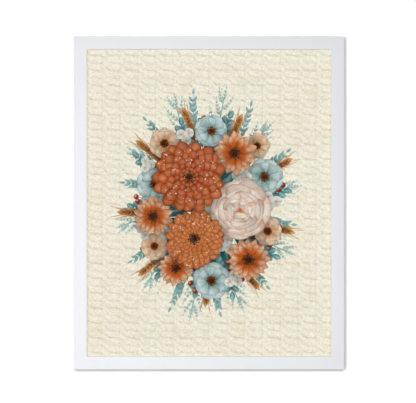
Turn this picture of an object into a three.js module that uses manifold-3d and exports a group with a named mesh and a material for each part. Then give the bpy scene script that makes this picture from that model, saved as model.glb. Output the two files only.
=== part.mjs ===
import * as THREE from "three";
import { mergeVertices } from "three/addons/utils/BufferGeometryUtils.js";
import Module from "manifold-3d";

// A framed art print for a wall: a white wooden frame of four mitred rails, with clear acrylic, a printed
// sheet and a backing board in its rebate. Flexible steel points hold the stack in, a sawtooth hanger is
// nailed to the back of the top rail, and two rubber bumpers keep the bottom off the wall.
//
// Millimetres. X runs to the viewer's right, Z up and Y into the wall. The wall's face is y = 0, and the
// origin is the middle notch of the hanger, where the frame bears on its nail.

const wasm = await Module();
wasm.setup();

// The sheet, a standard 16 x 20 inch print, and what lies before and behind it
const INCH = 25.4;
const SHEET_WIDTH = 16 * INCH;
const SHEET_HEIGHT = 20 * INCH;
const SHEET_THICKNESS = 0.5;
const GLAZING_THICKNESS = 2;
const BOARD_THICKNESS = 3;
const CONTACT_GAP = 0.15; // between faces that touch
const INK_ROOM = 0.4; // between the glazing and the sheet

// The moulding's section
const FACE_WIDTH = 21.3;
const MOULDING_DEPTH = 20;
const LIP_THICKNESS = 6;
const LIP_COVER = 6.2; // how far the lip hides each edge of the sheet
const REBATE_PLAY = 1.3; // from the sheet's edge to the rebate's wall
const OUTER_EASE = 0.7; // radius of the outer front edge
const SIGHT_EASE = 0.4; // radius of the edge round the print
const BACK_EASE = 0.4; // chamfer of the two back edges
const CORNER_EASE = 2.4; // radius of the frame's four corners, seen from the front
const MITRE_GAP = 0.05; // along the rail, at each end
const ARC_SEGMENTS = 5; // of each quarter round
const TURN_SEGMENTS = 20; // of each full round

// Flexible points
const POINT_WIDTH = 9.5;
const POINT_LENGTH = 16;
const POINT_THICKNESS = 0.5;
const POINT_ROOT = 6; // how much of it is driven into the rebate's wall
const POINT_TIP_RADIUS = 3;
const POINTS_ON_LONG_RAIL = 4;
const POINTS_ON_SHORT_RAIL = 3;

// Sawtooth hanger
const HANGER_LENGTH = 60;
const HANGER_ABOVE_BEARING = 8;
const HANGER_THICKNESS = 0.8;
const HANGER_RAISED_HALF = 17; // half the length of the raised middle
const HANGER_RAMP = 3;
const WALL_CLEARANCE = 0.2; // from the raised middle to the wall
const TOOTH_PITCH = 2.5;
const TOOTH_HEIGHT = 1.5;
const NOTCHES_EACH_SIDE = 6; // of the middle one
const TOP_ABOVE_BEARING = 11; // the frame's top edge over the origin

// Hanger nails
const NAIL_SPACING = 50;
const NAIL_ABOVE_BEARING = 3.4;
const NAIL_HEAD_RADIUS = 2.1;
const NAIL_HEAD_HEIGHT = 0.7;
const NAIL_CROWN_RADIUS = 1.5; // of the flat middle of its head
const NAIL_SHANK_RADIUS = 0.7;
const NAIL_LENGTH = 10;
const NAIL_TIP = 1.6;
const HOLE_PLAY = 0.3;

// Bumpers
const BUMPER_RADIUS = 5.5;
const BUMPER_HEIGHT = 3; // how far the frame stands off the wall
const BUMPER_EASE = 1.1;

// Worked out from the sizes above
const rebateWall = FACE_WIDTH - LIP_COVER - REBATE_PLAY; // width of the moulding's back
const outerWidth = SHEET_WIDTH + 2 * (FACE_WIDTH - LIP_COVER);
const outerHeight = SHEET_HEIGHT + 2 * (FACE_WIDTH - LIP_COVER);
const frameCentreZ = TOP_ABOVE_BEARING - outerHeight / 2;
const backY = -BUMPER_HEIGHT;
const frontY = backY - MOULDING_DEPTH;
const glazingBackY = frontY + LIP_THICKNESS + CONTACT_GAP + GLAZING_THICKNESS;
const sheetBackY = glazingBackY + INK_ROOM + SHEET_THICKNESS;
const boardBackY = sheetBackY + CONTACT_GAP + BOARD_THICKNESS;
const pointBackY = boardBackY + CONTACT_GAP + POINT_THICKNESS;

const material = (name, color, roughness, metalness = 0) =>
  new THREE.MeshStandardMaterial({ name, color, roughness, metalness });

const whitePaint = material("white_paint", 0xf0f1f4, 0.45);
const acrylic = new THREE.MeshStandardMaterial({
  name: "acrylic",
  color: 0xffffff,
  roughness: 0.02,
  transparent: true,
  opacity: 0.15,
});
const artPaper = material("art_paper", 0xeae5d2, 0.9);
const fibreboard = material("fibreboard", 0x9a7448, 0.8);
const steel = material("steel", 0xb4b6b8, 0.35, 1);
const brass = material("brass_plated", 0xc9a55a, 0.3, 1);
const rubber = material("rubber", 0x35363a, 0.7);

/** A closed geometry as a solid that can be cut. */
function solidOf(geometry) {
  const bare = geometry.clone();
  bare.deleteAttribute("normal");
  bare.deleteAttribute("uv");
  const merged = mergeVertices(bare, 1e-5);
  return new wasm.Manifold(
    new wasm.Mesh({
      numProp: 3,
      vertProperties: Float32Array.from(merged.getAttribute("position").array),
      triVerts: Uint32Array.from(merged.getIndex().array),
    }),
  );
}

/** A cut solid as a geometry again. */
function geometryOf(solid) {
  const { vertProperties, triVerts } = solid.getMesh();
  const geometry = new THREE.BufferGeometry();
  geometry.setAttribute("position", new THREE.BufferAttribute(vertProperties, 3));
  geometry.setIndex(new THREE.BufferAttribute(triVerts, 1));
  geometry.computeVertexNormals();
  return geometry;
}

/** The geometry with each of the cutters taken out of it. */
function cut(geometry, cutters) {
  const left = cutters.reduce((solid, cutter) => solid.subtract(solidOf(cutter)), solidOf(geometry));
  return geometryOf(left);
}

/** A flat shape drawn in x and z, given a thickness that ends at y = 0 on its wall side. */
function plateInXZ(shape, thickness) {
  const options = { depth: thickness, bevelEnabled: false, curveSegments: ARC_SEGMENTS };
  const geometry = new THREE.ExtrudeGeometry(shape, options);
  return geometry.rotateX(Math.PI / 2);
}

/** A rectangle about the origin with round corners. */
function roundedRectangle(width, height, radius) {
  const x = width / 2 - radius;
  const y = height / 2 - radius;
  const quarter = Math.PI / 2;
  const shape = new THREE.Shape();
  shape.absarc(x, -y, radius, -quarter, 0);
  shape.absarc(x, y, radius, 0, quarter);
  shape.absarc(-x, y, radius, quarter, 2 * quarter);
  shape.absarc(-x, -y, radius, 2 * quarter, 3 * quarter);
  shape.closePath();
  return shape;
}

function named(name, geometry, look) {
  const mesh = new THREE.Mesh(geometry, look);
  mesh.name = name;
  return mesh;
}

// ---- Frame ----

/** The moulding's section: x runs inwards from the outer side, y forwards from the back. */
function mouldingSection() {
  const sightX = FACE_WIDTH - SIGHT_EASE;
  const sightY = MOULDING_DEPTH - SIGHT_EASE;
  const outerY = MOULDING_DEPTH - OUTER_EASE;
  const section = new THREE.Shape();
  section.moveTo(BACK_EASE, 0);
  section.lineTo(rebateWall - BACK_EASE, 0);
  section.lineTo(rebateWall, BACK_EASE);
  section.lineTo(rebateWall, MOULDING_DEPTH - LIP_THICKNESS);
  section.lineTo(FACE_WIDTH, MOULDING_DEPTH - LIP_THICKNESS);
  section.absarc(sightX, sightY, SIGHT_EASE, 0, Math.PI / 2);
  section.absarc(OUTER_EASE, outerY, OUTER_EASE, Math.PI / 2, Math.PI);
  section.lineTo(0, BACK_EASE);
  section.closePath();
  return section;
}

/**
 * One mitred rail, lying along x with its back at y = backY. Its outer side faces -z and is `reach` from
 * the frame's centre. The cutters take their slots and holes out of it.
 */
function railGeometry(length, reach, cutters) {
  const extruded = new THREE.ExtrudeGeometry(mouldingSection(), {
    depth: length,
    bevelEnabled: false,
    curveSegments: ARC_SEGMENTS,
  });
  const position = extruded.getAttribute("position");
  for (let i = 0; i < position.count; i++) {
    const mitre = position.getX(i) + MITRE_GAP;
    position.setZ(i, position.getZ(i) === 0 ? mitre : length - mitre);
  }
  const inwards = new THREE.Vector3(0, 0, 1);
  const forwards = new THREE.Vector3(0, -1, 0);
  const along = new THREE.Vector3(1, 0, 0);
  const place = new THREE.Matrix4().makeBasis(inwards, forwards, along);
  extruded.applyMatrix4(place.setPosition(-length / 2, backY, -reach));

  const outline = plateInXZ(roundedRectangle(length, 2 * reach, CORNER_EASE), 2 * MOULDING_DEPTH);
  const eased = solidOf(extruded).intersect(solidOf(outline));
  return cut(geometryOf(eased), cutters);
}

/** A flexible point's outline: its root starts at z = 0, and its tip is round. */
function pointOutline() {
  const half = POINT_WIDTH / 2;
  const tip = POINT_LENGTH - POINT_TIP_RADIUS;
  const shape = new THREE.Shape();
  shape.moveTo(-half, 0);
  shape.lineTo(half, 0);
  shape.absarc(half - POINT_TIP_RADIUS, tip, POINT_TIP_RADIUS, 0, Math.PI / 2);
  shape.absarc(POINT_TIP_RADIUS - half, tip, POINT_TIP_RADIUS, Math.PI / 2, Math.PI);
  shape.closePath();
  return shape;
}

/** The places of `count` points along a rail, spread evenly between its corners. */
const pointPlaces = (count, sheetSide) =>
  Array.from({ length: count }, (_, i) => ((i + 0.5) / count - 0.5) * sheetSide);

/** One side of the frame: the rail and its points, modelled as the bottom one and turned to its place. */
function frameSide({ name, turn, length, reach, sheetSide, pointCount, holes = [] }) {
  const side = new THREE.Group();
  const rootZ = rebateWall - reach - POINT_ROOT;
  const slotHeight = POINT_THICKNESS + 2 * CONTACT_GAP;
  const slots = [];
  pointPlaces(pointCount, sheetSide).forEach((x, i) => {
    const point = named(`point_${name}_${i + 1}`, plateInXZ(pointOutline(), POINT_THICKNESS), steel);
    point.position.set(x, pointBackY, rootZ);
    side.add(point);
    const slot = new THREE.BoxGeometry(POINT_WIDTH + 2 * CONTACT_GAP, slotHeight, 2 * POINT_ROOT);
    slot.translate(x, pointBackY - POINT_THICKNESS / 2, rootZ + POINT_ROOT - CONTACT_GAP);
    slots.push(slot);
  });
  side.add(named(`rail_${name}`, railGeometry(length, reach, [...slots, ...holes]), whitePaint));
  side.rotation.y = turn;
  return side;
}

// ---- What lies in the rebate ----

function layer(name, thickness, backFaceY, look) {
  const mesh = named(name, new THREE.BoxGeometry(SHEET_WIDTH, thickness, SHEET_HEIGHT), look);
  mesh.position.y = backFaceY - thickness / 2;
  return mesh;
}

// ---- Hanger ----

const hangerFootY = backY + CONTACT_GAP + HANGER_THICKNESS; // the wall side of its two flat ends
const nailPlaces = { left: -NAIL_SPACING / 2, right: NAIL_SPACING / 2 };

/** A round rod along y, from y = start to y = end. */
function rodAlongY(radius, start, end, x, z) {
  const rod = new THREE.CylinderGeometry(radius, radius, end - start, TURN_SEGMENTS);
  return rod.translate(x, (start + end) / 2, z);
}

/** The bent strip seen from above: flat ends on the frame's back and a middle raised to the wall. */
function hangerSection() {
  const end = HANGER_LENGTH / 2;
  const rampEnd = HANGER_RAISED_HALF + HANGER_RAMP;
  const raisedY = -WALL_CLEARANCE;
  const wallSide = [
    [end, hangerFootY],
    [rampEnd, hangerFootY],
    [HANGER_RAISED_HALF, raisedY],
    [-HANGER_RAISED_HALF, raisedY],
    [-rampEnd, hangerFootY],
    [-end, hangerFootY],
  ];
  const frameSideOfStrip = wallSide.map(([x, y]) => [x, y - HANGER_THICKNESS]).reverse();
  return new THREE.Shape([...wallSide, ...frameSideOfStrip].map(([x, y]) => new THREE.Vector2(x, y)));
}

/** What is cut from the strip's lower edge: a row of V notches with a tooth between each two. */
function notchCutter() {
  const low = -2 * TOOTH_HEIGHT;
  const points = [];
  for (let i = -NOTCHES_EACH_SIDE; i <= NOTCHES_EACH_SIDE; i++) {
    const x = i * TOOTH_PITCH;
    points.push([x - TOOTH_PITCH / 2, -TOOTH_HEIGHT], [x, 0]);
  }
  const endX = (NOTCHES_EACH_SIDE + 0.5) * TOOTH_PITCH;
  points.push([endX, -TOOTH_HEIGHT], [endX, low], [-endX, low]);
  const outline = new THREE.Shape(points.map(([x, z]) => new THREE.Vector2(x, z)));
  return plateInXZ(outline, 2 * BUMPER_HEIGHT).translate(0, BUMPER_HEIGHT, 0);
}

function hanger() {
  const strip = new THREE.ExtrudeGeometry(hangerSection(), {
    depth: HANGER_ABOVE_BEARING + TOOTH_HEIGHT,
    bevelEnabled: false,
  });
  strip.translate(0, 0, -TOOTH_HEIGHT);
  const holes = Object.values(nailPlaces).map((x) =>
    rodAlongY(NAIL_SHANK_RADIUS + HOLE_PLAY, 2 * backY, 0, x, NAIL_ABOVE_BEARING),
  );
  return named("hanger", cut(strip, [notchCutter(), ...holes]), brass);
}

/** A nail turned about y, its head's underside at y = 0 and its tip in the rail. */
function nailGeometry() {
  const v = (r, y) => new THREE.Vector2(r, y);
  const profile = [
    v(0, -NAIL_LENGTH),
    v(NAIL_SHANK_RADIUS, NAIL_TIP - NAIL_LENGTH),
    v(NAIL_SHANK_RADIUS, 0),
    v(NAIL_HEAD_RADIUS, 0),
    v(NAIL_HEAD_RADIUS, NAIL_HEAD_HEIGHT / 2),
    v(NAIL_CROWN_RADIUS, NAIL_HEAD_HEIGHT),
    v(0, NAIL_HEAD_HEIGHT),
  ];
  return new THREE.LatheGeometry(profile, TURN_SEGMENTS);
}

/** The holes for the hanger's nails, in the top rail's own place before it is turned. */
function nailHolesInRail() {
  const start = hangerFootY + CONTACT_GAP - NAIL_LENGTH - HOLE_PLAY;
  const z = frameCentreZ - NAIL_ABOVE_BEARING;
  return Object.values(nailPlaces).map((x) => rodAlongY(NAIL_SHANK_RADIUS + HOLE_PLAY, start, 0, -x, z));
}

// ---- Bumpers ----

/** A low round pad, turned about y, with a flat face for the wall at y = 0. */
function bumperGeometry() {
  const profile = new THREE.Path();
  profile.moveTo(0, CONTACT_GAP - BUMPER_HEIGHT);
  profile.lineTo(BUMPER_RADIUS, CONTACT_GAP - BUMPER_HEIGHT);
  profile.absarc(BUMPER_RADIUS - BUMPER_EASE, -BUMPER_EASE, BUMPER_EASE, 0, Math.PI / 2);
  profile.lineTo(0, 0);
  return new THREE.LatheGeometry(profile.getPoints(ARC_SEGMENTS), TURN_SEGMENTS);
}

// ---- Assembly ----

const framedPrint = new THREE.Group();

const frame = new THREE.Group();
frame.position.z = frameCentreZ;
framedPrint.add(frame);

const across = {
  length: outerWidth,
  reach: outerHeight / 2,
  sheetSide: SHEET_WIDTH,
  pointCount: POINTS_ON_SHORT_RAIL,
};
const upright = {
  length: outerHeight,
  reach: outerWidth / 2,
  sheetSide: SHEET_HEIGHT,
  pointCount: POINTS_ON_LONG_RAIL,
};
frame.add(
  frameSide({ name: "bottom", turn: 0, ...across }),
  frameSide({ name: "left", turn: Math.PI / 2, ...upright }),
  frameSide({ name: "top", turn: Math.PI, holes: nailHolesInRail(), ...across }),
  frameSide({ name: "right", turn: -Math.PI / 2, ...upright }),
  layer("glazing", GLAZING_THICKNESS, glazingBackY, acrylic),
  layer("art_print", SHEET_THICKNESS, sheetBackY, artPaper),
  layer("backing_board", BOARD_THICKNESS, boardBackY, fibreboard),
);

framedPrint.add(hanger());
for (const [side, x] of Object.entries(nailPlaces)) {
  const nail = named(`hanger_nail_${side}`, nailGeometry(), steel);
  nail.position.set(x, hangerFootY + CONTACT_GAP, NAIL_ABOVE_BEARING);
  framedPrint.add(nail);
}

const bumperInset = rebateWall / 2;
for (const [side, sign] of [["left", -1], ["right", 1]]) {
  const bumper = named(`bumper_${side}`, bumperGeometry(), rubber);
  bumper.position.set(
    sign * (outerWidth / 2 - bumperInset),
    0,
    TOP_ABOVE_BEARING - outerHeight + bumperInset,
  );
  framedPrint.add(bumper);
}

export default framedPrint;
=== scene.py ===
"""A framed art print on a white wall: satin white frame, clear acrylic, textured paper with a botanical
print, and the plain hardware on its back. Metres, in the model's own frame: the wall is y = 0, the
picture faces -Y, and the origin is the notch that the frame hangs by."""

import itertools
import math

import bmesh
import bpy
import numpy as np
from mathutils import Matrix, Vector


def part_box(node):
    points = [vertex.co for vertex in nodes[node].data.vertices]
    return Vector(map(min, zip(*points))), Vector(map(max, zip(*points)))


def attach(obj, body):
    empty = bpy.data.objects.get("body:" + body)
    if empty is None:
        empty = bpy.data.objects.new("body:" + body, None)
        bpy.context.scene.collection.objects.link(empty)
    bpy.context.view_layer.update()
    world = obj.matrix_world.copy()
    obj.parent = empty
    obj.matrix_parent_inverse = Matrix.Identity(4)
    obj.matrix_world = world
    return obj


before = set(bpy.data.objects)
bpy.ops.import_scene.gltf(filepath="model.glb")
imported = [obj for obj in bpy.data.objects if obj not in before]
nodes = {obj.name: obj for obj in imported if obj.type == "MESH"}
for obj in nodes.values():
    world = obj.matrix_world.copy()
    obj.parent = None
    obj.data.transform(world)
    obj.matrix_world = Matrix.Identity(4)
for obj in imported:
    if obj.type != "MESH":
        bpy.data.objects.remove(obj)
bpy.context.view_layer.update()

MM = 0.001
TAU = 2 * math.pi

sheet_low, sheet_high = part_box("art_print")
sheet_centre = (sheet_low + sheet_high) / 2
SHEET_FRONT = sheet_low.y
rail_low, rail_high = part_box("rail_left")
FRAME_BACK = rail_high.y
FRAME_FRONT = rail_low.y
LIP_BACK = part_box("glazing")[0].y
BACK_WIDTH = 13.8 * MM  # width of a rail's back, outside the rebate
frame_low = Vector((rail_low.x, FRAME_FRONT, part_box("rail_bottom")[0].z))
frame_high = Vector((-rail_low.x, FRAME_BACK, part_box("rail_top")[1].z))
frame_centre = Vector((0, FRAME_FRONT, (frame_low.z + frame_high.z) / 2))
half_frame = (frame_high - frame_low) / 2


# ---- Shader maths ----


class Value:
    """A number that varies over a surface or the sky. Each operator adds one Math node."""

    def __init__(self, look, socket):
        self.look = look
        self.socket = socket

    def __add__(self, other):
        return self.look.math("ADD", self, other)

    def __sub__(self, other):
        return self.look.math("SUBTRACT", self, other)

    def __rsub__(self, other):
        return self.look.math("SUBTRACT", other, self)

    def __mul__(self, other):
        return self.look.math("MULTIPLY", self, other)

    def __truediv__(self, other):
        return self.look.math("DIVIDE", self, other)

    def __pow__(self, other):
        return self.look.math("POWER", self, other)

    def __gt__(self, other):
        return self.look.math("GREATER_THAN", self, other)

    def __lt__(self, other):
        return self.look.math("LESS_THAN", self, other)

    __radd__ = __add__
    __rmul__ = __mul__


class Look:
    """A material under construction."""

    def __init__(self, name):
        self.material = bpy.data.materials.new(name)
        self.material.use_nodes = True
        self.tree = self.material.node_tree
        self.tree.nodes.clear()

    def node(self, kind, settings=None, inputs=None):
        """Adds a node: its settings first, then the values or links of its sockets."""
        made = self.tree.nodes.new("ShaderNode" + kind)
        for name, value in (settings or {}).items():
            setattr(made, name, value)
        for name, value in (inputs or {}).items():
            if isinstance(value, Value):
                value = value.socket
            if isinstance(value, bpy.types.NodeSocket):
                self.tree.links.new(value, made.inputs[name])
            else:
                made.inputs[name].default_value = value
        return made

    def math(self, operation, *operands):
        made = self.node("Math", {"operation": operation}, dict(enumerate(operands)))
        return Value(self, made.outputs[0])

    def clamped(self, value):
        made = self.node("Clamp", None, {"Value": value})
        return Value(self, made.outputs[0])

    def smooth(self, value, low, high, first=0.0, last=1.0):
        """The first number below low and the last above high, with a soft step between."""
        made = self.node(
            "MapRange",
            {"interpolation_type": "SMOOTHSTEP"},
            {"Value": value, "From Min": low, "From Max": high, "To Min": first, "To Max": last},
        )
        return Value(self, made.outputs[0])

    def place(self):
        """The point on the part, in millimetres."""
        coordinates = self.node("TexCoord").outputs["Object"]
        scaled = self.node("VectorMath", {"operation": "SCALE"}, {0: coordinates, "Scale": 1 / MM})
        return scaled.outputs[0]

    def axes(self, vector):
        split = self.node("SeparateXYZ", None, {0: vector})
        return [Value(self, out) for out in split.outputs]

    def noise(self, place, grain, detail=2.0, roughness=0.5):
        """Soft noise from 0 to 1. grain is the size of its grains along x, y and z."""
        scaled = self.node("VectorMath", {"operation": "DIVIDE"}, {0: place, 1: grain}).outputs[0]
        made = self.node(
            "TexNoise",
            {"noise_dimensions": "3D"},
            {"Vector": scaled, "Scale": 1.0, "Detail": detail, "Roughness": roughness},
        )
        return Value(self, made.outputs["Fac"])

    def mix(self, factor, first, second, blend="MIX"):
        """Two colours mixed."""
        made = self.node(
            "Mix",
            {"data_type": "RGBA", "blend_type": blend},
            {0: factor, 6: first, 7: second},
        )
        return made.outputs[2]

    def bump(self, height, distance, strength, normal=None):
        inputs = {"Height": height, "Distance": distance, "Strength": strength}
        if normal is not None:
            inputs["Normal"] = normal
        return self.node("Bump", None, inputs).outputs["Normal"]

    def principled(self, **inputs):
        named = {name.replace("_", " "): value for name, value in inputs.items()}
        return self.node("BsdfPrincipled", None, named).outputs[0]

    def finish(self, surface):
        self.node("OutputMaterial", None, {"Surface": surface})
        return self.material


def srgb(code):
    """A #rrggbb colour as linear numbers."""
    parts = np.array([int(code[i : i + 2], 16) for i in (1, 3, 5)]) / 255
    return np.where(parts <= 0.04045, parts / 12.92, ((parts + 0.055) / 1.055) ** 2.4)


def rgba(code):
    return (*srgb(code), 1.0)


# ---- Finishes ----

PAINT_WHITE = (0.8, 0.806, 0.825, 1.0)
PAINT_SHADE = (0.775, 0.781, 0.805, 1.0)
RAW_WOOD = rgba("#c9ab7d")
RAW_WOOD_DARK = rgba("#a8814f")
# Where the paint ends, in millimetres
OVERSPRAY = 2.4  # how far it reaches round onto the frame's back
OVERSPRAY_FADE = 1.6  # how much further it is before it has thinned out
PAINT_THINS = 0.75  # how far short of the back it begins to thin
PAINT_GONE = 0.35  # how far short of the back it has thinned out
REBATE_MARGIN = 0.1  # how far past the rebate's own faces the bare wood is taken


def painted_wood(name, grain):
    """Satin white paint on wood, with bare wood on the back and in the rebate. grain is the grain's
    length along x, y and z, in millimetres."""
    look = Look(name)
    place = look.place()
    x, y, z = look.axes(place)
    fibres = look.noise(place, grain, detail=3, roughness=0.6)
    orange_peel = look.noise(place, (1.6, 1.6, 1.6), detail=1)
    cloud = look.noise(place, (60, 60, 60))

    paint = look.mix(look.clamped(fibres * 0.5 + cloud * 0.6 - 0.05), PAINT_WHITE, PAINT_SHADE)
    wood = look.mix(look.smooth(fibres, 0.35, 0.68), RAW_WOOD, RAW_WOOD_DARK)

    half_width = half_frame.x / MM
    half_height = half_frame.z / MM
    aside = look.math("ABSOLUTE", x)
    above = look.math("ABSOLUTE", z - frame_centre.z / MM)
    rebate = BACK_WIDTH / MM - REBATE_MARGIN
    in_rebate = (aside < half_width - rebate) * (above < half_height - rebate)
    in_rebate = in_rebate * (y > LIP_BACK / MM - REBATE_MARGIN)
    ragged = y + (look.noise(place, (7, 7, 7), detail=3) - 0.5) * 1.6
    on_back = look.smooth(ragged, FRAME_BACK / MM - PAINT_THINS, FRAME_BACK / MM - PAINT_GONE)
    from_edge = look.math("MINIMUM", half_width - aside, half_height - above) + (fibres - 0.5) * 3
    on_back = on_back * look.smooth(from_edge, OVERSPRAY, OVERSPRAY + OVERSPRAY_FADE)
    bare = look.math("MAXIMUM", in_rebate, on_back)

    peel = look.bump(orange_peel, 0.02 * MM, 0.5)
    normal = look.bump(fibres, 0.05 * MM, 0.5, peel)
    shader = look.principled(
        Base_Color=look.mix(bare, paint, wood),
        Roughness=look.clamped(0.36 + fibres * 0.1 + bare * 0.3),
        Normal=normal,
    )
    return look.finish(shader)


# Painted light and shade of the crepe relief: the paper's colour on its lit ridges and in its shaded
# valleys
PAPER_RIDGE_LIT = (0.98, 0.954, 0.815, 1.0)
PAPER_VALLEY_SHADE = (0.64, 0.585, 0.445, 1.0)
# The paper's crepe pattern, in millimetres
WEAVE_COLUMN = 28.8  # the width of a column
WEAVE_LINE = 12.0  # from one line to the next
WEAVE_DROP = 0.42  # the share of a column over which a line drops
WEAVE_RELIEF = (0.35 * MM, 0.6)  # the bump's distance and strength
# Heights in the relief, whose valleys are 0 and whose ridges are 1
PAPER_LEVEL = 0.73
LINE_DEPTH = 0.5
RIPPLE_DEPTH = 0.1
SEAM_DEPTH = 0.24
TOOTH_HEIGHT = 1.6


def paper_weave(look, place):
    """The crepe relief of the paper, from 0 in its valleys to 1 on its ridges: each line drops by one
    line's height at the start of a column and then runs almost level."""
    x, _, z = look.axes(place)
    wander = look.noise(place, (11, 11, 6)) - 0.5
    within = look.math("FRACT", (x + wander * 1.6) / WEAVE_COLUMN)
    fallen = look.smooth(within, 0.0, WEAVE_DROP) * 0.74 + within * 0.26
    height = (z + wander * 2) / WEAVE_LINE + fallen
    wave = look.math("SINE", height * TAU) * 0.5 + 0.5
    ripple = look.math("SINE", height * (2 * TAU) + 1.2) * 0.5 + 0.5
    alternate = look.math("SINE", z * (TAU / (2 * WEAVE_LINE))) * 0.2 + 0.8
    seam = look.smooth(look.math("ABSOLUTE", within - 0.5), 0.455, 0.5)
    level = look.smooth(within, 0.05, 0.4) * 0.45 + 0.55
    broken = look.smooth(look.noise(place, (6, 6, 3)), 0.32, 0.6)
    tooth = look.noise(place, (2.6, 2.6, 1.7), roughness=0.65) - 0.5
    lines = wave**7 * alternate * level * (broken * 0.4 + 0.6) * LINE_DEPTH
    lines = lines + ripple * broken * RIPPLE_DEPTH
    seams = seam * (broken * 0.5 + 0.5) * SEAM_DEPTH
    return look.clamped(PAPER_LEVEL - lines - seams + tooth * TOOTH_HEIGHT)


def paper_tints(look, place, colour):
    """The colour with faint warm and green clouds over it."""
    warm = look.noise(place, (24, 24, 18))
    green = look.noise(place, (31, 30, 22))
    colour = look.mix(look.smooth(warm, 0.5, 0.72) * 0.35, colour, (0.93, 0.86, 0.74, 1.0), "MULTIPLY")
    return look.mix(look.smooth(green, 0.5, 0.72) * 0.3, colour, (0.9, 0.95, 0.9, 1.0), "MULTIPLY")


def textured_paper():
    look = Look("textured_paper")
    place = look.place()
    weave = paper_weave(look, place)
    # The paper's colour follows the relief: painted shade in its valleys and painted light on its
    # ridges, under faint tint clouds
    colour = paper_tints(look, place, look.mix(weave, PAPER_VALLEY_SHADE, PAPER_RIDGE_LIT))
    shader = look.principled(
        Base_Color=colour,
        Roughness=0.92,
        Specular_IOR_Level=0.2,
        Normal=look.bump(weave, *WEAVE_RELIEF),
    )
    return look.finish(shader)


def printed_ink():
    """Matt ink whose colour is held by the mesh, granulated like a watercolour, and darker in the
    weave's valleys as painted shade."""
    look = Look("printed_ink")
    place = look.place()
    weave = paper_weave(look, place)
    colour = look.node("Attribute", {"attribute_name": "ink"}).outputs["Color"]
    grains = look.noise(place, (0.8, 0.8, 0.8), roughness=0.7)
    pools = look.noise(place, (6, 6, 6), detail=3, roughness=0.6)
    # The weave darkens the ink in the relief's valleys and lightens it on the ridges, as painted shade
    # and light; grains and pools are the wash's own granulation
    strength = look.clamped(0.8 + weave * 0.2 + (grains - 0.5) * 0.3 + (pools - 0.5) * 0.3)
    tone = look.node("CombineColor", None, {0: strength, 1: strength, 2: strength}).outputs[0]
    shader = look.principled(
        Base_Color=look.mix(1.0, colour, tone, "MULTIPLY"),
        Roughness=0.88,
        Specular_IOR_Level=0.2,
        Normal=look.bump(weave, *WEAVE_RELIEF),
    )
    return look.finish(shader)


def clear_acrylic():
    """Clear sheet that lets all light through to the paper."""
    look = Look("clear_acrylic")
    shader = look.principled(
        Base_Color=(1.0, 1.0, 1.0, 1.0), Roughness=0.0, IOR=1.49, Transmission_Weight=1.0
    )
    open_way = look.node("BsdfTransparent").outputs[0]
    rays = look.node("LightPath").outputs
    for light in ("Is Diffuse Ray", "Is Shadow Ray"):
        shader = look.node("MixShader", None, {0: rays[light], 1: shader, 2: open_way}).outputs[0]
    return look.finish(shader)


def hardboard():
    look = Look("hardboard")
    place = look.place()
    pulp = look.noise(place, (2.2, 2.2, 2.2), detail=4, roughness=0.7)
    fibres = look.noise(place, (5, 5, 0.7))
    cloud = look.noise(place, (90, 90, 90), detail=3)
    colour = look.mix(look.smooth(pulp, 0.3, 0.7), rgba("#8a6238"), rgba("#ab8250"))
    colour = look.mix(look.smooth(fibres, 0.6, 0.75) * 0.4, colour, rgba("#c79f6b"))
    colour = look.mix(look.smooth(cloud, 0.4, 0.7) * 0.35, colour, rgba("#7d5a35"))
    shader = look.principled(
        Base_Color=colour,
        Roughness=look.clamped(0.55 + pulp * 0.25),
        Normal=look.bump(pulp, 0.15 * MM, 0.5),
    )
    return look.finish(shader)


def plain_metal(name, bright, dull, roughness, brushed):
    """Bare or plated sheet metal with rolling marks, and stains where it has been handled."""
    look = Look(name)
    place = look.place()
    marks = look.noise(place, brushed, detail=3)
    stains = look.noise(place, (3.5, 3.5, 3.5), detail=3)
    stained = look.smooth(stains, 0.48, 0.72)
    shader = look.principled(
        Base_Color=look.mix(stained * 0.6, bright, dull),
        Metallic=1.0,
        Roughness=look.clamped(roughness + (marks - 0.5) * 0.2 + stained * 0.15),
        Normal=look.bump(marks, 0.03 * MM, 0.5),
    )
    return look.finish(shader)


def soft_rubber():
    look = Look("soft_rubber")
    place = look.place()
    dust = look.noise(place, (1.2, 1.2, 1.2), detail=3)
    colour = look.mix(look.smooth(dust, 0.45, 0.75), rgba("#2a2b2e"), rgba("#414246"))
    shader = look.principled(
        Base_Color=colour,
        Roughness=look.clamped(0.6 + dust * 0.25),
        Normal=look.bump(dust, 0.05 * MM, 0.5),
    )
    return look.finish(shader)


CORNER_ANGLE = 32  # degrees between two faces, above which their edge stays sharp
WELD_REACH = 0.001 * MM


def crisp_shading():
    """A modifier's node group: smooth shading round a part's curves, with its corners kept sharp."""
    group = bpy.data.node_groups.new("crisp_shading", "GeometryNodeTree")
    for way in ("INPUT", "OUTPUT"):
        group.interface.new_socket("Geometry", in_out=way, socket_type="NodeSocketGeometry")
    shape = group.nodes.new("NodeGroupInput").outputs[0]
    angle = group.nodes.new("GeometryNodeInputMeshEdgeAngle").outputs["Unsigned Angle"]
    corner = group.nodes.new("FunctionNodeCompare")
    corner.inputs["B"].default_value = math.radians(CORNER_ANGLE)
    group.links.new(angle, corner.inputs["A"])
    steps = (
        ("GeometryNodeMergeByDistance", {"Distance": WELD_REACH}),
        ("GeometryNodeSplitEdges", {"Selection": corner.outputs[0]}),
        ("GeometryNodeSetShadeSmooth", {"Shade Smooth": True}),
    )
    for kind, inputs in steps:
        step = group.nodes.new(kind)
        for name, value in inputs.items():
            if isinstance(value, bpy.types.NodeSocket):
                group.links.new(value, step.inputs[name])
            else:
                step.inputs[name].default_value = value
        group.links.new(shape, step.inputs[0])
        shape = step.outputs[0]
    group.links.new(shape, group.nodes.new("NodeGroupOutput").inputs[0])
    return group


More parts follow.
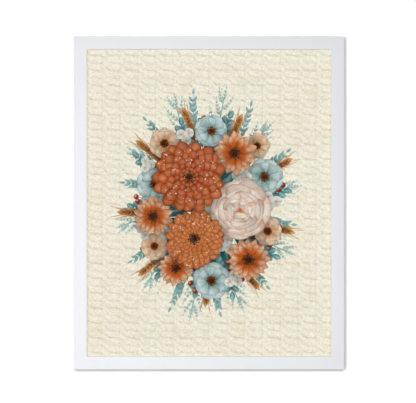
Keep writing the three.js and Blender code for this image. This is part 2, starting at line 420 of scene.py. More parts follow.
def finish_frame_and_hardware():
    upright = painted_wood("satin_white_upright", (1.4, 1.4, 60))
    level = painted_wood("satin_white_level", (60, 1.4, 1.4))
    steel = plain_metal("bright_steel", rgba("#b9bbbd"), rgba("#8b8a86"), 0.34, (0.4, 4, 4))
    brass = plain_metal("brass_plate", rgba("#d8b26a"), rgba("#a07c3c"), 0.28, (6, 6, 0.4))
    rubber = soft_rubber()
    finishes = {
        "rail_left": upright,
        "rail_right": upright,
        "rail_top": level,
        "rail_bottom": level,
        "glazing": clear_acrylic(),
        "art_print": textured_paper(),
        "backing_board": hardboard(),
        "hanger": brass,
    }
    for name in nodes:
        if name.startswith(("point_", "hanger_nail")):
            finishes[name] = steel
        elif name.startswith("bumper_"):
            finishes[name] = rubber
    shading = crisp_shading()
    for name, material in finishes.items():
        nodes[name].material_slots[0].material = material
        nodes[name].modifiers.new("crisp_shading", "NODES").node_group = shading


# ---- The printed picture ----
# Everything here is in millimetres on the sheet, from its middle, with x to the right and z up.

INK_FOOT = 0.002  # the underside of every form
INK_LOWEST = 0.02  # the lowest layer of ink over the paper
INK_HIGHEST = 0.36  # the highest, still clear of the glazing
FOOT_LAYER = -1  # stands for the underside where layers are listed
SHADE_STARTS = 0.92  # the share of a bloom's radius where its painted shade is deepest
SHADE_REACH = 8.0  # how far the shade spreads over what lies under the bloom
SHADE_DEPTH = 0.45
STRAIGHT = 1e-6  # a bend as small as this counts as none


def lerp(first, second, factor):
    factor = np.asarray(factor)[..., None]
    return first + (second - first) * factor


def swell(widest, fullness):
    """A half-width from 0 to 1 and back along a form, widest at a share of its length."""
    power = math.log(0.5) / math.log(widest)

    def half_width(along):
        return np.sin(np.pi * np.clip(along, 0, 1) ** power) ** fullness

    return half_width


class Press:
    """Counts the layers of ink on each small cell of the sheet, so a new form lies over what it crosses,
    and knows the blooms still to come, which shade what they will cover."""

    CELL = 2.0  # the side of a cell

    def __init__(self):
        width = sheet_high.x - sheet_low.x
        height = sheet_high.z - sheet_low.z
        self.half = np.array([width, height]) / MM / 2
        self.layers = np.zeros((2 * self.half / self.CELL).astype(int) + 3, int)
        self.covers = []

    def cover(self, grid, layer=None):
        """Marks the cells that a form's grid covers and those beside them, and gives the form's layer:
        the next free one, or the one asked for."""
        between = (grid[:-1] + grid[1:]) / 2
        places = np.concatenate([grid, between]).reshape(-1, 2)
        cells = np.floor((places + self.half) / self.CELL).astype(int) + 1
        beside = [cells + (i, j) for i in (-1, 0, 1) for j in (-1, 0, 1)]
        cells = np.unique(np.concatenate(beside), axis=0)
        cells = np.clip(cells, 0, np.array(self.layers.shape) - 1)
        column, row = cells.T
        if layer is None:
            layer = self.layers[column, row].max() + 1
        self.layers[column, row] = np.maximum(self.layers[column, row], layer)
        return layer

    def highest(self, centre, radius):
        """The highest layer in the square round a bloom."""
        low = np.floor((np.array(centre) - radius + self.half) / self.CELL).astype(int)
        high = np.ceil((np.array(centre) + radius + self.half) / self.CELL).astype(int) + 2
        return self.layers[low[0] : high[0] + 1, low[1] : high[1] + 1].max()

    def shade(self, places):
        """How much light is left at each place, from 0 to 1, beside the blooms still to come."""
        light = np.ones(places.shape[:-1])
        for centre, radius in self.covers:
            beyond = np.linalg.norm(places - np.array(centre), axis=-1) - radius * SHADE_STARTS
            light *= 1 - SHADE_DEPTH * np.exp(-((np.clip(beyond, 0, None) / SHADE_REACH) ** 2))
        return light


def with_points(grid):
    """A grid's rows in one list, with only the middle of its first row and of its last."""
    middle = (grid.shape[1] - 1) // 2
    return np.concatenate([grid[:1, middle], grid[1:-1].reshape(-1, grid.shape[-1]), grid[-1:, middle]])


def add_object(name, data):
    made = bpy.data.objects.new(name, data)
    bpy.context.scene.collection.objects.link(made)
    return made


class InkPiece:
    """Thin closed forms of ink that make one piece, with a colour at each vertex."""

    def __init__(self, name, press):
        self.name = name
        self.press = press
        self.places = []
        self.colours = []
        self.layers = []
        self.faces = []
        self.count = 0

    def form(
        self, start, heading, length, width, half_width, paint, bend=0.0, rows=10, columns=6, layer=None
    ):
        """One leaf-shaped form. It runs from start at a heading that turns by bend over its length, and
        is width wide times half_width along it. paint gives its colour along it, from 0 to 1, and
        across it, from -1 to 1."""
        along = 0.5 - 0.5 * np.cos(np.pi * np.arange(rows + 1) / rows)
        across = np.sin(np.pi / 2 * np.linspace(-1, 1, columns + 1))
        angle = heading + bend * along
        if abs(bend) > STRAIGHT:
            run_x = np.sin(angle) - math.sin(heading)
            run_z = math.cos(heading) - np.cos(angle)
            run = np.stack([run_x, run_z], -1) / bend
        else:
            run = along[:, None] * (math.cos(heading), math.sin(heading))
        spine = np.array(start) + run * length
        sideways = np.stack([-np.sin(angle), np.cos(angle)], -1)
        half = half_width(along) * width / 2
        grid = spine[:, None] + sideways[:, None] * half[:, None, None] * across[None, :, None]
        colour = paint(along[:, None], across[None, :]) * self.press.shade(grid)[..., None]

        self._close(grid, np.clip(colour, 0, 1), self.press.cover(grid, layer))

    def _close(self, grid, colour, layer):
        """Adds the grid as a top face with its two ends drawn to points, and walls down to a plain
        underside."""
        rows, columns = grid.shape[0] - 1, grid.shape[1] - 1
        inner = np.arange(1, rows)
        top, top_colour = with_points(grid), with_points(colour)
        last = len(top) - 1
        cell = 1 + (inner - 1)[:, None] * (columns + 1) + np.arange(columns + 1)
        rim = np.concatenate([[0], cell[:, 0], [last], cell[::-1, -1]])
        foot = len(top) + np.arange(len(rim))

        faces = [(0, cell[0, j], cell[0, j + 1]) for j in range(columns)]
        for i in range(rows - 2):
            for j in range(columns):
                faces.append((cell[i, j], cell[i + 1, j], cell[i + 1, j + 1], cell[i, j + 1]))
        faces += [(cell[-1, j], last, cell[-1, j + 1]) for j in range(columns)]
        for i in range(len(rim)):
            after = (i + 1) % len(rim)
            faces.append((rim[after], rim[i], foot[i], foot[after]))
        near, far = foot[1:rows], foot[: rows - 1 : -1][: rows - 1]
        faces.append((foot[0], far[0], near[0]))
        for i in range(rows - 2):
            faces.append((near[i], far[i], far[i + 1], near[i + 1]))
        faces.append((near[-1], far[-1], foot[rows]))

        self.places.append(np.concatenate([top, top[rim]]))
        self.layers.append(np.repeat([layer, FOOT_LAYER], [len(top), len(rim)]))
        self.colours.append(np.concatenate([top_colour, top_colour[rim]]))
        self.faces += [tuple(int(v) + self.count for v in face) for face in faces]
        self.count += len(top) + len(rim)

    def make(self, material):
        origin = np.array([sheet_centre.x, SHEET_FRONT, sheet_centre.z])
        layers = np.concatenate(self.layers)
        step = (INK_HIGHEST - INK_LOWEST) / self.press.layers.max()
        lifts = np.where(layers == FOOT_LAYER, INK_FOOT, INK_LOWEST + step * layers)
        x, z = np.concatenate(self.places).T
        mesh = bpy.data.meshes.new(self.name)
        mesh.from_pydata((np.column_stack([x, -lifts, z]) * MM + origin).tolist(), [], self.faces)
        ink = mesh.color_attributes.new("ink", "FLOAT_COLOR", "POINT")
        colours = np.concatenate(self.colours)
        ink.data.foreach_set("color", np.column_stack([colours, np.ones(len(colours))]).ravel())
        mesh.materials.append(material)
        piece = add_object(self.name, mesh)
        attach(piece, "root")
        return piece


# Inks
SEPIA = srgb("#3a120a")
BROWN = srgb("#5c2411")
MAROON = srgb("#7c2413")
CRIMSON = srgb("#a2311f")
RUST = srgb("#b34a1c")
ORANGE = srgb("#d2702c")
APRICOT = srgb("#e89a5c")
TAN = srgb("#cf8f4e")
HONEY = srgb("#e6bb7c")
CREAM = srgb("#f5e8d0")
BLUSH = srgb("#dcb496")
SLATE = srgb("#1f4c52")
TEAL = srgb("#3f7f83")
SEA = srgb("#6fa9ac")
MIST = srgb("#9cc4c1")
PALE = srgb("#bcd6cf")
MILK = srgb("#e4eeee")
WHITE = srgb("#fbf7ee")


def flat_ink(colour):
    def paint(along, across):
        return np.broadcast_to(colour, (along * across).shape + (3,))

    return paint


def wash(rng, root, body, tip, rim, rib=None, veins=0, glow=0.0):
    """A watercolour wash from root to tip. Pigment pools along its rim, one side is darker than the
    other, veins fan out from the root, and glow lightens the middle of the tip."""
    phase = rng.uniform(0, TAU, 3)
    tone = rng.uniform(0.88, 1.1)
    dark_side = rng.choice([-1.0, 1.0])

    def paint(along, across):
        blot = np.sin(5.2 * along + phase[0]) * np.cos(2.3 * across + 3 * along + phase[1])
        reach = np.clip(along + 0.12 * blot, 0, 1)
        colour = lerp(root, body, np.clip(reach * 2, 0, 1))
        colour = lerp(colour, tip, np.clip(reach * 2 - 1, 0, 1))
        if veins:
            line = (0.5 + 0.5 * np.cos(across * veins * np.pi + phase[2])) ** 4
            colour = lerp(colour, root, 0.5 * line * np.clip(1.1 - along, 0, 1) ** 0.8)
        if glow:
            spot = np.exp(-((across / 0.5) ** 2)) * np.exp(-(((along - 0.78) / 0.16) ** 2))
            colour = lerp(colour, tip * 0.6 + CREAM * 0.4, glow * spot)
        pooled = np.clip(np.abs(across) ** 5 + along**14, 0, 1)
        colour = lerp(colour, rim, 0.75 * pooled)
        if rib is not None:
            middle = np.exp(-((across / 0.14) ** 2)) * (1 - along**3)
            colour = lerp(colour, rib, 0.8 * middle)
        shading = tone * (1 + 0.07 * blot) * (1 - 0.13 * (1 + dark_side * across))
        return colour * shading[..., None]

    return paint


LEAF_SHAPE = swell(0.42, 0.85)
ROUND_LEAF = swell(0.5, 0.6)
DAHLIA_PETAL = swell(0.66, 0.7)
NARROW_PETAL = swell(0.7, 0.6)
POINTED_PETAL = swell(0.55, 0.95)
SPOON_PETAL = swell(0.74, 0.6)
ROSE_PETAL = swell(0.7, 0.42)
GRAIN_SHAPE = swell(0.45, 0.75)
DISC = swell(0.5, 0.5)


def even_width(along):
    """A stem: even in width, with short points at its ends."""
    return np.minimum(1, 6 * np.minimum(along, 1 - along)) ** 0.5


def stem(piece, start, heading, length, width, colour, bend=0.0, rows=4):
    piece.form(start, heading, length, width, even_width, flat_ink(colour), bend, rows, 2)


def toward(start, heading, distance):
    return (start[0] + distance * math.cos(heading), start[1] + distance * math.sin(heading))


def on_stem(start, heading, length, bend, share):
    """The place and heading at a share of the way along a bent stem."""
    angle = heading + bend * share
    if abs(bend) <= STRAIGHT:
        return toward(start, heading, length * share), angle
    x = start[0] + length / bend * (math.sin(angle) - math.sin(heading))
    z = start[1] + length / bend * (math.cos(heading) - math.cos(angle))
    return (x, z), angle


def disc(piece, centre, radius, paint, columns=8, layer=None):
    start = (centre[0] - radius, centre[1])
    width = 2 * radius
    piece.form(start, 0.0, width, width, DISC, paint, rows=columns, columns=columns, layer=layer)


def sprig(piece, rng, start, heading, length, bend, leaf, inks, pairs, stem_width=1.3):
    """A stem with pairs of leaflets that shorten towards its tip."""
    root, tip, rim = inks
    stem(piece, start, heading, length, stem_width, rim, bend, 8)
    for i in range(pairs):
        share = 0.14 + 0.8 * i / pairs
        place, angle = on_stem(start, heading, length, bend, share)
        size = leaf * (1.05 - 0.5 * share) * rng.uniform(0.85, 1.15)
        for side in (-1, 1):
            spread = side * rng.uniform(0.55, 0.9)
            paint = wash(rng, root, tip, tip, rim)
            piece.form(place, angle + spread, size, size * 0.4, LEAF_SHAPE, paint, -side * 0.4, 6, 4)
    place, angle = on_stem(start, heading, length, bend, 0.97)
    paint = wash(rng, root, tip, tip, rim)
    piece.form(place, angle, leaf * 0.6, leaf * 0.24, LEAF_SHAPE, paint, 0.0, 6, 4)


def frond(piece, rng, start, heading, length, bend, inks, twigs=8):
    """A fine spray: a stem with leafy twigs to either side of it, shorter towards its tip."""
    stem(piece, start, heading, length, 1.5, inks[2], bend, 14)
    for i in range(twigs):
        share = 0.16 + 0.72 * i / twigs
        place, angle = on_stem(start, heading, length, bend, share)
        side = 1 if i % 2 else -1
        reach = length * (0.5 - 0.32 * share) * rng.uniform(0.85, 1.1)
        lean = side * rng.uniform(0.55, 0.75)
        sprig(piece, rng, place, angle + lean, reach, -side * 0.35, 6.6, inks, 4, 0.8)
    place, angle = on_stem(start, heading, length, bend, 0.84)
    sprig(piece, rng, place, angle, length * 0.2, 0.0, 6.6, inks, 3, 0.8)


def round_leaf_branch(piece, rng, start, heading, length, bend, leaf, pairs=6):
    """A branch of round dusty leaves."""
    stem(piece, start, heading, length, 2.0, SLATE, bend, 16)
    for i in range(pairs):
        share = 0.2 + 0.78 * i / pairs
        place, angle = on_stem(start, heading, length, bend, share)
        size = leaf * (1.15 - 0.55 * share) * rng.uniform(0.88, 1.1)
        for side in (-1, 1):
            spread = side * rng.uniform(0.75, 1.1)
            paint = wash(rng, TEAL, SEA, MIST, TEAL, rib=PALE)
            piece.form(place, angle + spread, size, size * 0.72, ROUND_LEAF, paint, -side * 0.3, 12, 8)
    place, angle = on_stem(start, heading, length, bend, 0.96)
    paint = wash(rng, TEAL, SEA, MIST, TEAL, rib=PALE)
    piece.form(place, angle, leaf * 0.7, leaf * 0.42, ROUND_LEAF, paint, 0.0, 12, 8)


def long_leaf(piece, rng, start, heading, length, width, bend):
    paint = wash(rng, SLATE, TEAL, MIST, TEAL, rib=PALE, veins=4)
    piece.form(start, heading, length, width, LEAF_SHAPE, paint, bend, rows=18, columns=12)


def wheat_ear(piece, rng, start, heading, length, bend, grain=13.0, pairs=8):
    """A stalk with an ear of grains at its end and a fan of fine awns."""

    def add_grain(place, angle, curl):
        paint = wash(rng, BROWN, TAN, HONEY, BROWN, glow=0.3)
        piece.form(place, angle, grain, grain * 0.46, GRAIN_SHAPE, paint, curl, 10, 8)

    stalk = wash(rng, TAN, TAN, TAN, RUST)
    piece.form(start, heading, length, 1.8, even_width, stalk, bend, rows=16, columns=2)
    ear_starts = 0.5
    for i in range(pairs):
        share = ear_starts + (1 - ear_starts) * i / pairs
        place, angle = on_stem(start, heading, length, bend, share)
        for side in (-1, 1):
            spread = side * rng.uniform(0.3, 0.42)
            root = toward(place, angle + spread, grain * 0.8)
            awn = angle + spread * 0.7
            stem(piece, root, awn, grain * 1.5, 0.8, TAN)
            add_grain(place, angle + spread, -side * 0.3)
    add_grain(*on_stem(start, heading, length, bend, 0.98), 0.0)


def berry_spray(twigs, berries, rng, start, heading, length, bend, radius, count=7):
    """A twig with short stalks, each with a berry."""
    stem(twigs, start, heading, length, 1.6, BROWN, bend, 12)
    for i in range(count):
        share = 0.35 + 0.65 * i / (count - 1)
        place, angle = on_stem(start, heading, length, bend, share)
        side = 1 if i % 2 else -1
        reach = rng.uniform(1.5, 2.4) * radius if i < count - 1 else radius
        stalk_angle = angle + side * rng.uniform(0.5, 0.8) * (i < count - 1)
        stem(twigs, place, stalk_angle, reach, 1.1, BROWN)
        middle = toward(place, stalk_angle, reach + radius * 0.6)
        berry(berries, rng, middle, radius * rng.uniform(0.85, 1.15))


def berry(piece, rng, centre, radius):
    """A round berry, lit from the upper left, with a small highlight."""
    tone = rng.uniform(0.85, 1.15)

    def paint(along, across):
        x, z = 2 * along - 1, across * np.sqrt(np.clip(1 - (2 * along - 1) ** 2, 0, 1))
        lit = np.exp(-((x + 0.35) ** 2 + (z - 0.35) ** 2) / 0.3)
        edge = np.clip(x**2 + z**2, 0, 1) ** 3
        colour = lerp(CRIMSON * tone, APRICOT, 0.8 * lit)
        return lerp(colour, SEPIA, 0.7 * edge)

    disc(piece, centre, radius, paint)
    highlight = (centre[0] - radius * 0.3, centre[1] + radius * 0.35)
    disc(piece, highlight, radius * 0.24, flat_ink(WHITE), 4)


def petal_ring(
    piece, rng, centre, count, inner, outer, width, shape, turn, inks, wobble=0.12, **touches
):
    """A ring of petals round a centre, each a little different. Every second one lies under the others,
    or, where they meet in the centre, each lies over those before it. inks and touches go to wash."""
    base = piece.press.highest(centre, outer) + 1
    order = list(range(0, count, 2)) + list(range(1, count, 2))
    for i in order:
        heading = turn + TAU * i / count + rng.normal(0, 0.04)
        length = (outer - inner) * rng.uniform(0.92, 1.05)
        start = toward(centre, heading, inner)
        bend = rng.normal(0, wobble)
        paint = wash(rng, *inks, **touches)
        rows, columns = (16, 10) if width > 16 else (12, 8) if width > 8 else (10, 6)
        beside_first = count % 2 and i == count - 1
        layer = base + i % 2 + 2 * beside_first if inner > 0 else None
        piece.form(start, heading, length, width, shape, paint, bend, rows, columns, layer)


def seed_head(piece, rng, centre, radius, inks, seed=1.5):
    """A centre of small seeds laid in the spiral that flowers make."""
    golden = math.pi * (3 - math.sqrt(5))
    base = piece.press.highest(centre, radius) + 1
    disc(piece, centre, radius, flat_ink(inks[0]), layer=base)
    count = int((radius / seed) ** 2 * 0.8)
    for i in range(count):
        share = (i + 0.5) / count
        place = toward(centre, i * golden, radius * math.sqrt(share) * 0.96)
        colour = lerp(inks[1], inks[2], np.clip(share + rng.normal(0, 0.2), 0, 1))
        disc(piece, place, seed * 0.62 * (0.7 + 0.4 * share), flat_ink(colour), 4, base + 1)


def pollen(piece, rng, centre, low, high, count, size=2.0):
    """Small light touches of gouache over a bloom."""
    layer = piece.press.highest(centre, high) + 1
    for _ in range(count):
        heading, reach = rng.uniform(0, TAU), math.sqrt(rng.uniform(low**2, high**2))
        place = toward(centre, heading, reach)
        touch = size * rng.uniform(0.7, 1.25)
        lean = heading + rng.normal(0, 0.5)
        piece.form(place, lean, touch, touch * 0.65, DISC, flat_ink(WHITE), 0.0, 4, 4, layer)


def petal_rings(piece, rng, centre, rings, twist, fullness, shape, inks, **touches):
    """Rings of petals, the widest first, each turned from the last. rings holds each one's number of
    petals, inner radius and outer radius. Where fullness is above 1, the petals of a ring overlap."""
    turn = rng.uniform(0, TAU)
    for petals, inner, outer in rings:
        turn += math.pi / petals + twist
        width = TAU * outer / petals * fullness
        petal_ring(piece, rng, centre, petals, inner, outer, width, shape, turn, inks, **touches)


def dahlia(piece, rng, centre, radius, inks, rings=6, petals=17):
    """A full bloom: rings of cupped petals that shorten towards a dark seeded centre."""
    outers = [radius * (1 - ring / (rings + 0.8)) for ring in range(rings)]
    sizes = [(petals - ring, outer * 0.25, outer) for ring, outer in enumerate(outers)]
    petal_rings(piece, rng, centre, sizes, 0.13, 1.04, DAHLIA_PETAL, inks, veins=3, glow=0.4)
    seed_head(piece, rng, centre, radius * 0.15, (SEPIA, MAROON, HONEY))
    pollen(piece, rng, centre, radius * 0.35, radius * 0.9, int(radius * 0.8))


def chrysanthemum(piece, rng, centre, radius, inks, rings=6, petals=26):
    """A bloom of many narrow petals."""
    outers = [radius * (1 - ring / (rings + 1.2)) for ring in range(rings)]
    sizes = [(petals - 2 * ring, outer * 0.3, outer) for ring, outer in enumerate(outers)]
    petal_rings(piece, rng, centre, sizes, 0.07, 1.12, NARROW_PETAL, inks, wobble=0.2, glow=0.3)
    seed_head(piece, rng, centre, radius * 0.2, (SEPIA, BROWN, HONEY))
    pollen(piece, rng, centre, radius * 0.4, radius * 0.9, int(radius * 0.7))


def rose(piece, rng, centre, radius, inks):
    """A garden rose seen from the front: broad petals with pale lips, closing to a tight heart."""
    rings = ((7, 1.0), (7, 0.84), (6, 0.68), (5, 0.53), (5, 0.4), (4, 0.28), (3, 0.18))
    sizes = [(petals, 0.0, radius * share) for petals, share in rings]
    petal_rings(piece, rng, centre, sizes, 0.4, 1.12, ROSE_PETAL, inks, veins=5, glow=0.25)
    disc(piece, centre, radius * 0.07, flat_ink(inks[0]))


def daisy(piece, rng, centre, radius, petals, inks, core, shape=SPOON_PETAL):
    """An open bloom of two rings of broad petals round a seeded centre."""
    sizes = [(petals, radius * 0.16, radius * share) for share in (1, 0.82)]
    petal_rings(piece, rng, centre, sizes, 0, 1.05, shape, inks, veins=3, glow=0.2)
    seed_head(piece, rng, centre, radius * 0.29, core, 1.3)


def blossoms(piece, rng, centre, radius, count=3):
    """A few small white blossoms side by side."""
    turn = rng.uniform(0, TAU)
    for i in range(count):
        place = toward(centre, turn + TAU * i / count, radius * 0.95)
        petal_ring(
            piece, rng, place, 5, 0.6, radius, radius * 1.15, ROSE_PETAL, rng.uniform(0, TAU),
            (HONEY, MILK, WHITE, MIST), veins=2,
        )
        disc(piece, place, radius * 0.22, flat_ink(HONEY), 6)
        disc(piece, place, radius * 0.1, flat_ink(RUST), 4)


def splatter(piece, rng, count, reach):
    """Fine drops of wash flung round the bouquet."""
    for _ in range(count):
        heading = rng.uniform(0, TAU)
        stretch = rng.uniform(0.72, 1.0)
        place = (reach[0] * stretch * math.cos(heading), reach[1] * stretch * math.sin(heading))
        ink = [SEA, MIST, ORANGE, TAN][rng.integers(4)]
        disc(piece, place, rng.uniform(0.5, 1.3), flat_ink(ink), 4)


PICTURE_CENTRE = (-1.5, -3.0)
PICTURE_REACH = (146.0, 187.0)  # half its width and height
PICTURE_SEED = 20
DROPS = 70
SPRAYS = 20  # fronds and sprigs, by turns
LEAF_BRANCHES = 10
WHEAT_EARS = 9
BERRY_TWIGS = 9
LONG_LEAVES = ((0.36, 16), (0.2, 17), (0.04, 8))  # each ring's share of the oval, and its leaves

# Each bloom: its kind, centre and radius, from the lowest to the highest.
BLOOMS = (
    ("blush", (-72, 96), 25),
    ("blush", (95, -46), 24),
    ("blush", (-88, -70), 23),
    ("blush", (78, 92), 21),
    ("anemone", (90, 42), 30),
    ("anemone", (-88, 30), 29),
    ("anemone", (4, -126), 30),
    ("anemone", (4, 116), 27),
    ("blossoms", (54, 47), 9),
    ("blossoms", (28, -68), 9),
    ("blossoms", (-66, -42), 9),
    ("blossoms", (2, -10), 8),
    ("blossoms", (-38, 108), 8),
    ("blossoms", (100, 2), 9),
    ("blossoms", (40, -124), 8),
    ("blossoms", (-104, -46), 7),
    ("blossoms", (-100, 62), 7),
    ("sunflower", (42, 80), 36),
    ("sunflower", (-90, -22), 33),
    ("sunflower", (64, -92), 36),
    ("sunflower", (-54, -106), 29),
    ("rose", (50, -12), 50),
    ("chrysanthemum", (-24, -58), 49),
    ("dahlia", (-32, 42), 60),
)


def bloom(piece, rng, kind, centre, radius):
    if kind == "blush":
        daisy(piece, rng, centre, radius, 9, (TAN, BLUSH, CREAM, TAN), (SEPIA, BROWN, TAN))
    elif kind == "blossoms":
        blossoms(piece, rng, centre, radius)
    elif kind == "anemone":
        daisy(piece, rng, centre, radius, 8, (TEAL, PALE, MILK, SEA), (SEPIA, MAROON, HONEY))
    elif kind == "sunflower":
        inks = (CRIMSON, ORANGE, (HONEY + CREAM) / 2, RUST)
        daisy(piece, rng, centre, radius, 16, inks, (SEPIA, BROWN, TAN), POINTED_PETAL)
    elif kind == "rose":
        rose(piece, rng, centre, radius, (ORANGE, (BLUSH + CREAM) / 2, WHITE, (RUST + BLUSH) / 2))
    elif kind == "chrysanthemum":
        inks = (MAROON, ORANGE, (ORANGE + APRICOT) / 2, MAROON)
        chrysanthemum(piece, rng, centre, radius, inks)
    else:
        dahlia(piece, rng, centre, radius, (MAROON, (CRIMSON + RUST) / 2, ORANGE, MAROON))


def ellipse(angle, share):
    """A place on the picture's oval, at a share of its reach, and the way out from there."""
    x = PICTURE_REACH[0] * share * math.cos(angle)
    z = PICTURE_REACH[1] * share * math.sin(angle)
    return (PICTURE_CENTRE[0] + x, PICTURE_CENTRE[1] + z), math.atan2(z, x)


def around(rng, i, count, shift, loose, share):
    """The place and heading of one plant in a ring, moved by a share of a step and then at random."""
    return ellipse(TAU * (i + shift) / count + rng.normal(0, loose), share)


def either_way(rng, low, high):
    return rng.choice([-1, 1]) * rng.uniform(low, high)


def print_picture():
    """A botanical bouquet seen from the front: pale fronds at the back, then leaves and wheat, then the
    blooms."""
    rng = np.random.default_rng(PICTURE_SEED)
    press = Press()
    press.covers = [(centre, radius) for _, centre, radius in BLOOMS]
    material = printed_ink()
    names = ("fronds", "foliage", "wheat", "berries", "small_blooms", "large_blooms")
    pieces = [InkPiece("ink_" + name, press) for name in names]
    fronds, foliage, wheat, berries, small_blooms, large_blooms = pieces

    splatter(fronds, rng, DROPS, PICTURE_REACH)
    for i in range(SPRAYS):
        start, heading = around(rng, i, SPRAYS, 0.5, 0.04, 0.42)
        reach = math.hypot(*ellipse(heading, 1.0)[0]) - math.hypot(*start)
        inks = (SEA, MIST, SEA) if i % 2 else (MIST, PALE, SEA)
        bend = either_way(rng, 0.15, 0.45)
        length = reach * rng.uniform(0.88, 0.98)
        if i % 2:
            sprig(fronds, rng, start, heading - bend / 2, length, bend, 17, inks, 10)
        else:
            frond(fronds, rng, start, heading - bend / 2, length * 1.04, bend, inks)

    for i in range(LEAF_BRANCHES):
        start, heading = around(rng, i, LEAF_BRANCHES, 0.15, 0.06, 0.36)
        bend = either_way(rng, 0.2, 0.5)
        round_leaf_branch(foliage, rng, start, heading - bend / 2, rng.uniform(70, 86), bend, 21)
    for i in range(WHEAT_EARS):
        start, heading = around(rng, i, WHEAT_EARS, 0.6, 0.06, 0.34)
        bend = either_way(rng, 0.1, 0.35)
        wheat_ear(wheat, rng, start, heading - bend / 2, rng.uniform(82, 98), bend)
    for ring, count in LONG_LEAVES:
        for i in range(count):
            start, heading = around(rng, i, count, 0, 0.05, ring)
            bend = either_way(rng, 0.2, 0.5)
            length = rng.uniform(44, 60)
            long_leaf(foliage, rng, start, heading - bend / 2, length, rng.uniform(16, 21), bend)
    for i in range(BERRY_TWIGS):
        start, heading = around(rng, i, BERRY_TWIGS, 0.35, 0.08, 0.4)
        berry_spray(wheat, berries, rng, start, heading, rng.uniform(50, 62), rng.normal(0, 0.3), 4.2)

    for kind, centre, radius in BLOOMS:
        press.covers.pop(0)
        bloom(large_blooms if radius > 40 else small_blooms, rng, kind, centre, radius)

    return [piece.make(material) for piece in pieces]


# ---- Back details ----

NAIL_INSETS = (4.6 * MM, 11.2 * MM)  # from the frame's corner, along each side
NAIL_ARM = 3.6 * MM
NAIL_SHEET = 0.35 * MM
NAIL_PROUD = 0.04 * MM
NAIL_LEAN = (0.5, 0.87)  # how an arm leans from its tip: towards the corner, and across the mitre


def nail_arm(bm, tip, along):
    """One arm of a V-nail: a thin bar in the frame's back, from the tip."""
    across = Vector((-along.z, 0, along.x)) * NAIL_SHEET / 2
    far = tip + along * NAIL_ARM
    ends = (tip + across, tip - across, far - across, far + across)
    low = [bm.verts.new((p.x, FRAME_BACK - NAIL_PROUD, p.z)) for p in ends]
    high = [bm.verts.new((p.x, FRAME_BACK + NAIL_PROUD, p.z)) for p in ends]
    bm.faces.new(low)
    bm.faces.new(high[::-1])
    for i in range(4):
        bm.faces.new((low[i], high[i], high[(i + 1) % 4], low[(i + 1) % 4]))


def nail_corners():
    """Pairs of V-nails driven flush across each mitre on the frame's back."""
    steel = plain_metal("nail_steel", rgba("#9a9b9c"), rgba("#6f6c66"), 0.4, (0.6, 4, 4))
    bm = bmesh.new()
    outward, sideways = NAIL_LEAN
    for right, up in itertools.product((-1, 1), repeat=2):
        out = Vector((right, 0, up)).normalized()
        side = Vector((-out.z, 0, out.x))
        for inset in NAIL_INSETS:
            x = right * (half_frame.x - inset)
            z = frame_centre.z + up * (half_frame.z - inset)
            for lean in (-1, 1):
                along = (out * outward + side * lean * sideways).normalized()
                nail_arm(bm, Vector((x, 0, z)), along)
    bmesh.ops.recalc_face_normals(bm, faces=bm.faces)
    mesh = bpy.data.meshes.new("v_nails")
    bm.to_mesh(mesh)
    bm.free()
    mesh.materials.append(steel)
    piece = add_object("v_nails", mesh)
    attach(piece, "root")


# ---- Studio ----

FLOOR_DROP = 1.1  # from the frame's lower edge to the floor
ROOM_REACH = 30.0
LENS = 300.0
SENSOR = 36.0
VIEW_WIDTH = 0.6712  # what the image's width takes in, at the frame's front
CAMERA_SHIFT = Vector((-1.5 * MM, 0, 2.1 * MM))  # from the frame's middle
# Each lamp: which way it shines, its strength, and the width of its disc in degrees.
KEY = ((0.4, 1, -0.22), 0.32, 8)  # from the left and from above
FRONT = ((0.035, 1, -0.035), 1.84, 6)  # on all but the picture and the wall
PRINT_FRONT = ((0, 1, 0), 2.52, 6)  # on the picture alone
WALL_LAMPS = (
    ((0.23, 1, 0), 2.4, 12),  # from the left
    ((0, 1, -0.185), 2.85, 12),  # from above
    ((0.2, 1, -0.14), 0.95, 12),  # from between the two
)
RAIL_FILL_PLACE = (-0.25, -0.85, -0.38)  # before the frame's lower left
RAIL_FILL_STRENGTH = 2.5
RAIL_FILL_SIZE = 0.2
BACK_FILLS = (((-2.2, 1.3, 0.5), 30), ((2.2, 1.3, 0.5), 22), ((0, 0.9, 2.2), 34))  # place, strength
BACK_FILL_SIZE = 1.6
WORLD_GLOW = 0.25
WORLD_GLOW_BEHIND = 0.7  # beyond the wall, on the frame's back
CALM_SKY = (42, 16)  # degrees from straight before the picture, between which the glow fades
CALM_SKY_GLOW = 0.12  # the share of the glow that is left there
BACKDROP_GLOW = 0.85  # the sky as the camera sees it


def pale_surface(name, albedo, glow, one_sided):
    """A matt white surface of the stage. One that is one-sided is clear from behind."""
    look = Look(name)
    shader = look.principled(
        Base_Color=(albedo, albedo, albedo, 1.0),
        Roughness=1.0,
        Specular_IOR_Level=0.0,
        Emission_Color=(1.0, 1.0, 1.0, 1.0),
        Emission_Strength=glow,
    )
    if one_sided:
        behind = look.node("NewGeometry").outputs["Backfacing"]
        clear = look.node("BsdfTransparent").outputs[0]
        shader = look.node("MixShader", None, {0: behind, 1: shader, 2: clear}).outputs[0]
    return look.finish(shader)


def plane(name, corners, material):
    mesh = bpy.data.meshes.new(name)
    mesh.from_pydata(corners, [], [(0, 1, 2, 3)])
    mesh.materials.append(material)
    made = add_object(name, mesh)
    return made


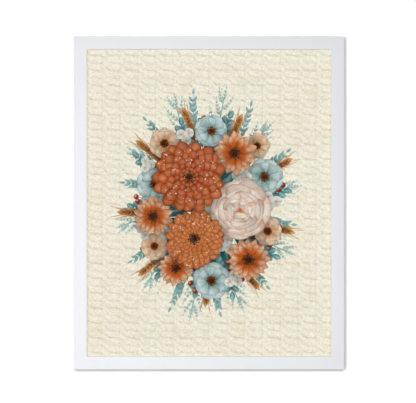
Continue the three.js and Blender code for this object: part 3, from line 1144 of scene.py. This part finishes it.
def build_stage():
    """The floor, and the wall, which is seen from its front alone. Both let all light through."""
    floor_z = frame_low.z - FLOOR_DROP
    r = ROOM_REACH
    floor_corners = [(-r, -r, floor_z), (r, -r, floor_z), (r, r, floor_z), (-r, r, floor_z)]
    floor = plane("floor", floor_corners, pale_surface("pale_floor", 0.85, 0.4, one_sided=False))
    wall_corners = [(-r, 0, floor_z), (r, 0, floor_z), (r, 0, r), (-r, 0, r)]
    wall = plane("wall", wall_corners, pale_surface("white_wall", 0.5, 0.0, one_sided=True))
    for surface in (floor, wall):
        surface.visible_diffuse = False
        surface.visible_glossy = False
        surface.visible_transmission = False
        surface.visible_shadow = False
    return wall


def aim(name, data, place, way):
    """Adds a camera or a lamp that points one way from its place."""
    made = add_object(name, data)
    made.location = place
    made.rotation_mode = "QUATERNION"
    made.rotation_quaternion = Vector(way).to_track_quat("-Z", "Y")
    return made


def lamp(name, kind, shines, receivers, place=(0, 0, 0), **settings):
    """A lamp that lights its receivers alone."""
    data = bpy.data.lights.new(name, kind)
    for key, value in settings.items():
        setattr(data, key, value)
    made = aim(name, data, place, shines)
    lit = bpy.data.collections.new(name + "_lights")
    for thing in receivers:
        lit.objects.link(thing)
    made.light_linking.receiver_collection = lit
    return made


def sun(name, receivers, shines, strength, disc_width):
    return lamp(name, "SUN", shines, receivers, energy=strength, angle=math.radians(disc_width))


class Sky(Look):
    """The light from all round, under construction."""

    def __init__(self, name):
        world = bpy.data.worlds.new(name)
        bpy.context.scene.world = world
        world.use_nodes = True
        self.tree = world.node_tree
        self.tree.nodes.clear()


def studio_world():
    """Even soft light from all round, brighter beyond the wall, and darker before the picture so that
    the clear sheet mirrors little."""
    sky = Sky("studio")
    direction = sky.node("TexCoord").outputs["Generated"]
    dot = sky.node("VectorMath", {"operation": "DOT_PRODUCT"}, {0: direction, 1: (0, -1, 0)})
    facing = Value(sky, dot.outputs["Value"])
    calm = [math.cos(math.radians(angle)) for angle in CALM_SKY]
    glow = sky.smooth(facing, -0.8, -0.3, WORLD_GLOW_BEHIND, WORLD_GLOW)
    glow = glow - sky.smooth(facing, *calm, 0.0, WORLD_GLOW * (1 - CALM_SKY_GLOW))
    seen = sky.node("LightPath").outputs["Is Camera Ray"]
    strength = sky.node("Mix", None, {0: seen, 2: glow, 3: BACKDROP_GLOW}).outputs[0]
    background = sky.node("Background", None, {"Strength": strength}).outputs[0]
    sky.node("OutputWorld", None, {"Surface": background})


def light_room(wall, picture):
    studio_world()
    room = [thing for thing in bpy.context.scene.objects if thing.type == "MESH" and thing != wall]
    others = [thing for thing in room if thing not in picture]
    rails = [part for name, part in nodes.items() if name.startswith("rail_")]
    key = sun("key", room, *KEY)
    front = sun("front", others, *FRONT)
    for wall_lamp in WALL_LAMPS:
        sun("wall_light", [wall], *wall_lamp)
    print_front = sun("print_front", picture, *PRINT_FRONT)
    rail_fill = lamp(
        "rail_fill", "AREA", (0, 1, 0), rails, RAIL_FILL_PLACE,
        energy=RAIL_FILL_STRENGTH, size=RAIL_FILL_SIZE,
    )
    for light in (key, front, print_front, rail_fill):
        light.visible_glossy = False
        light.visible_transmission = False
    for place, strength in BACK_FILLS:
        shines = frame_centre - Vector(place)
        lamp("back_fill", "AREA", shines, nodes.values(), place, energy=strength, size=BACK_FILL_SIZE)


def place_camera():
    data = bpy.data.cameras.new("camera")
    data.lens = LENS
    data.sensor_width = SENSOR
    back = Vector((0, VIEW_WIDTH * LENS / SENSOR, 0))
    bpy.context.scene.camera = aim("camera", data, frame_centre + CAMERA_SHIFT - back, (0, 1, 0))
    bpy.context.scene.view_settings.view_transform = "Standard"


place_camera()
finish_frame_and_hardware()
ink_pieces = print_picture()
nail_corners()
light_room(build_stage(), [nodes["art_print"], *ink_pieces])
